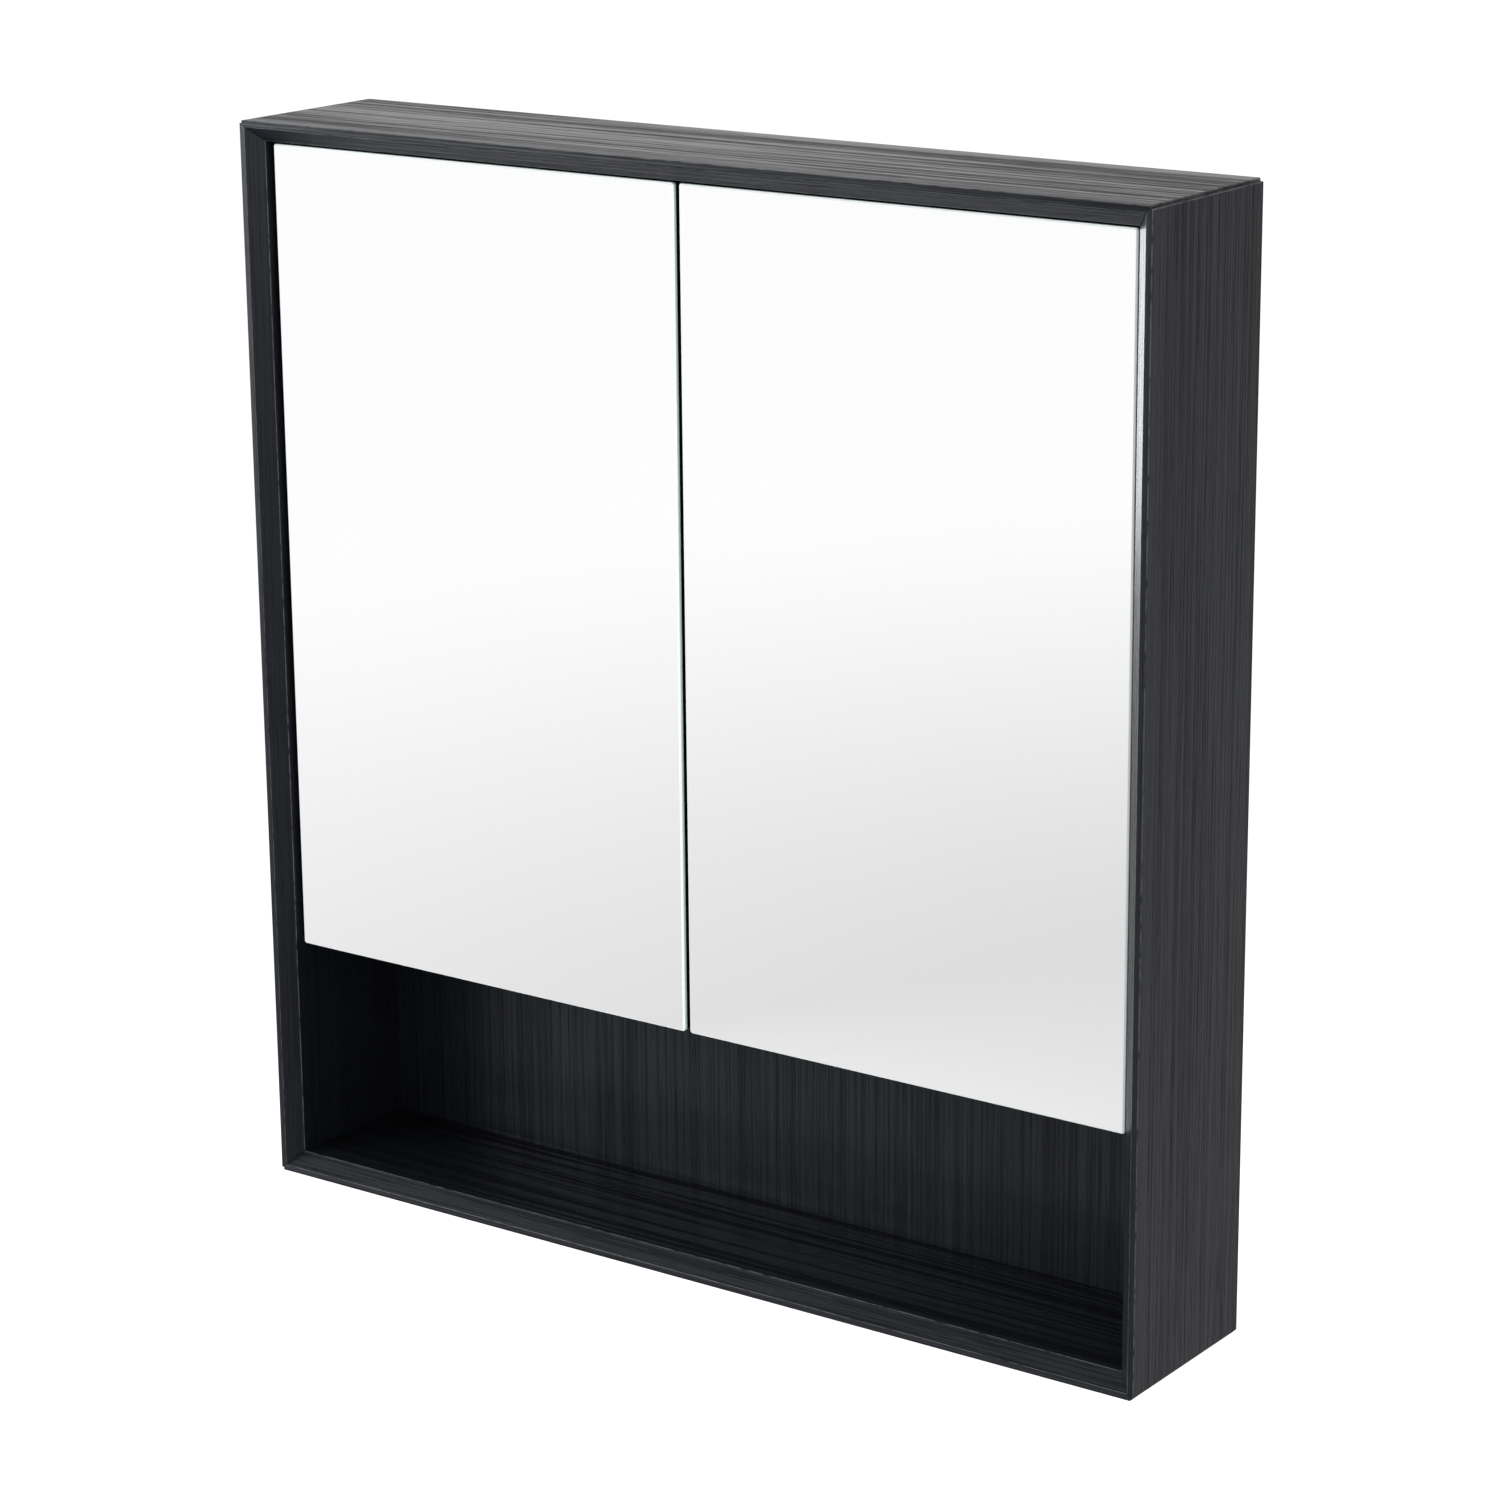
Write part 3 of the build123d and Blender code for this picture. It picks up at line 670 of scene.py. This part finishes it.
class CABINET_OT_inside(bpy.types.Operator):
    """Veneers the fixed shelf and the partition, and finishes the glass shelves and their supports"""

    bl_idname = "cabinet.inside"
    bl_label = "Shelves"

    def execute(self, context):
        dress("fixed_shelf", ash("fixed_shelf", ALONG_X))
        dress("centre_partition", ash("centre_partition", ALONG_Z))
        nickel = plated("shelf_supports", colours().nickel, roughness=0.28, spangle=0.0)
        for side in SIDES:
            dress(f"{side}_shelf_supports", nickel)
            for level in ("lower", "upper"):
                node = f"{side}_{level}_glass_shelf"
                dress(node, shelf_glass(node))
        return {"FINISHED"}


class CABINET_OT_doors(bpy.types.Operator):
    """Finishes the mirrors, their boards and the bumpers"""

    bl_idname = "cabinet.doors"
    bl_label = "Mirror doors"

    def execute(self, context):
        for side in SIDES:
            dress(f"{side}_mirror", mirror_glass(f"{side}_mirror"))
            dress(f"{side}_door_board", ash(f"{side}_door_board", ALONG_Z))
            dress(f"{side}_door_bumpers", silicone(f"{side}_door_bumpers"))
        return {"FINISHED"}


class CABINET_OT_hinges(bpy.types.Operator):
    """Plates the hinges and their screws"""

    bl_idname = "cabinet.hinges"
    bl_label = "Hinges"

    def execute(self, context):
        pressed = plated("hinges", colours().nickel, roughness=0.26, spangle=0.0)
        turned = plated("screws", shaded(colours().nickel, 0.92), roughness=0.34, spangle=0.1)
        for side in SIDES:
            for part in ("hinge_cups", "hinge_arms", "hinge_plates", "hinge_pins"):
                dress(f"{side}_{part}", pressed)
            for part in ("hinge_cup_screws", "hinge_arm_screws", "hinge_plate_screws"):
                dress(f"{side}_{part}", turned)
        return {"FINISHED"}


class CABINET_OT_hangers(bpy.types.Operator):
    """Finishes the hangers behind the back panel and the plates on the wall"""

    bl_idname = "cabinet.hangers"
    bl_label = "Hangers"

    def execute(self, context):
        zinc = plated("wall_plates", colours().zinc, roughness=0.42, spangle=0.5)
        turned = plated("hanger_screws", colours().zinc, roughness=0.36, spangle=0.2)
        for side in SIDES:
            dress(f"{side}_hanger_housing", moulded(f"{side}_hanger_housing"))
            for part in ("hanging_hook", "wall_plate"):
                dress(f"{side}_{part}", zinc)
            for part in ("hanger_screws", "hook_screws"):
                dress(f"{side}_{part}", turned)
        return {"FINISHED"}


class CABINET_OT_joinery(bpy.types.Operator):
    """Finishes the dowels and splines hidden in the joints"""

    bl_idname = "cabinet.joinery"
    bl_label = "Dowels and splines"

    def execute(self, context):
        dress("mitre_splines", raw_wood("mitre_splines", ALONG_Y))
        dress("partition_dowels", raw_wood("partition_dowels", ALONG_Z))
        for side in SIDES:
            dress(f"{side}_shelf_dowels", raw_wood(f"{side}_shelf_dowels", ALONG_X))
        return {"FINISHED"}


def studio_floor(level):
    """A wide plain floor. Its pale paper has a painted shade, a greyer patch in front, which the
    mirrors reflect as shade.

    Its corners are those of a square about the origin, as wide as the reach each way.
    """
    square = np.array([(-1.0, -1.0, 0.0), (1.0, -1.0, 0.0), (1.0, 1.0, 0.0), (-1.0, 1.0, 0.0)])
    corners = FLOOR_REACH * square + (0.0, 0.0, level)
    mesh = bpy.data.meshes.new("studio_floor")
    mesh.from_pydata(corners.tolist(), [], [(0, 1, 2, 3)])
    made = Finish("pale_paper", Specular_IOR_Level=0.1, Roughness=0.9)
    place = made.place()
    across, depth, _ = made.axes(place)
    # Painted shade: the paper is greyer in a round patch in front of the cabinet and pales to its own
    # colour further out.
    from_painted_shade_centre = ((across - SHADE_PATCH_ACROSS) ** 2 + (depth + SHADE_PATCH_IN_FRONT) ** 2) ** 0.5
    fibres = made.noise(place, scale=60.0, detail=3.0)
    beyond_painted_shade = from_painted_shade_centre.step(SHADE_PATCH_INNER_RADIUS, SHADE_PATCH_OUTER_RADIUS)
    tint = made.mix(beyond_painted_shade, PAPER_PAINTED_SHADE, PAPER_FAR)
    tint = made.mix(fibres * 0.05, tint, PAPER_FIBRE)
    mesh.materials.append(made.finish(Base_Color=tint))
    floor = bpy.data.objects.new("studio_floor", mesh)
    bpy.context.scene.collection.objects.link(floor)


def soft_light(name, place, target, width, height, power):
    """A rectangular soft light that looks at a target."""
    lamp = bpy.data.lights.new(name, "AREA")
    lamp.shape = "RECTANGLE"
    lamp.size = width
    lamp.size_y = height
    lamp.energy = power
    lamp.color = LAMP_COLOUR
    made = bpy.data.objects.new(name, lamp)
    made.location = place
    made.rotation_euler = (Vector(target) - Vector(place)).to_track_quat("-Z", "Y").to_euler()
    bpy.context.scene.collection.objects.link(made)


def studio_camera(settings):
    """The camera, turned by its heading, tilt and roll."""
    heading = settings.camera_heading
    tilt = settings.camera_tilt
    ahead = Vector((-sin(heading) * cos(tilt), cos(heading) * cos(tilt), -sin(tilt)))
    right = Vector((cos(heading), sin(heading), 0.0))
    above = right.cross(ahead)
    roll = Matrix.Rotation(-settings.camera_roll, 3, ahead)
    right = roll @ right
    above = roll @ above
    data = bpy.data.cameras.new("studio_camera")
    data.sensor_width = SENSOR_WIDTH
    data.lens = settings.camera_lens
    made = bpy.data.objects.new("studio_camera", data)
    turned = Matrix((right, above, -ahead)).transposed().to_4x4()
    made.matrix_world = Matrix.Translation(settings.camera_place) @ turned
    bpy.context.scene.collection.objects.link(made)
    bpy.context.scene.camera = made


class CABINET_OT_stage(bpy.types.Operator):
    """Sets up the floor, the soft light and the camera"""

    bl_idname = "cabinet.stage"
    bl_label = "Studio"

    def execute(self, context):
        scene = context.scene
        settings = scene.cabinet_studio
        studio_floor(CAD_LOW.z - settings.floor_drop)
        for name, light in SOFT_LIGHTS.items():
            soft_light(f"{name}_light", power=getattr(settings, name), **light)
        room = bpy.data.worlds.new("studio_room")
        room.use_nodes = True
        background = room.node_tree.nodes["Background"]
        background.inputs["Color"].default_value = ROOM_COLOUR
        background.inputs["Strength"].default_value = settings.sky
        scene.world = room
        scene.view_settings.view_transform = "Standard"
        studio_camera(settings)
        return {"FINISHED"}


OPERATORS = (
    CABINET_OT_frame,
    CABINET_OT_inside,
    CABINET_OT_doors,
    CABINET_OT_hinges,
    CABINET_OT_hangers,
    CABINET_OT_joinery,
    CABINET_OT_stage,
)


class CABINET_PT_sidebar(bpy.types.Panel):
    """Lists the cabinet's pieces and settings in the sidebar"""

    bl_idname = "CABINET_PT_sidebar"
    bl_label = "Mirror Cabinet"
    bl_space_type = "VIEW_3D"
    bl_region_type = "UI"
    bl_category = "Cabinet"

    def draw(self, context):
        scene = context.scene
        for operator in OPERATORS:
            self.layout.operator(operator.bl_idname, text=operator.bl_label)
        for group in (scene.cabinet_colours, scene.cabinet_sizes, scene.cabinet_studio):
            box = self.layout.box()
            for key in group.__annotations__:
                box.prop(group, key)


GROUPS = (CabinetColours, CabinetSizes, StudioSettings)


def register():
    """Adds the settings, operators and panel."""
    for kind in (*GROUPS, *OPERATORS, CABINET_PT_sidebar):
        bpy.utils.register_class(kind)
    bpy.types.Scene.cabinet_colours = PointerProperty(type=CabinetColours)
    bpy.types.Scene.cabinet_sizes = PointerProperty(type=CabinetSizes)
    bpy.types.Scene.cabinet_studio = PointerProperty(type=StudioSettings)


def unregister():
    """Takes the settings, operators and panel away again."""
    del bpy.types.Scene.cabinet_studio
    del bpy.types.Scene.cabinet_sizes
    del bpy.types.Scene.cabinet_colours
    for kind in reversed((*GROUPS, *OPERATORS, CABINET_PT_sidebar)):
        bpy.utils.unregister_class(kind)


def main():
    register()
    bpy.ops.cabinet.frame()
    bpy.ops.cabinet.inside()
    bpy.ops.cabinet.doors()
    bpy.ops.cabinet.hinges()
    bpy.ops.cabinet.hangers()
    bpy.ops.cabinet.joinery()
    bpy.ops.cabinet.stage()


if __name__ == "__main__":
    main()
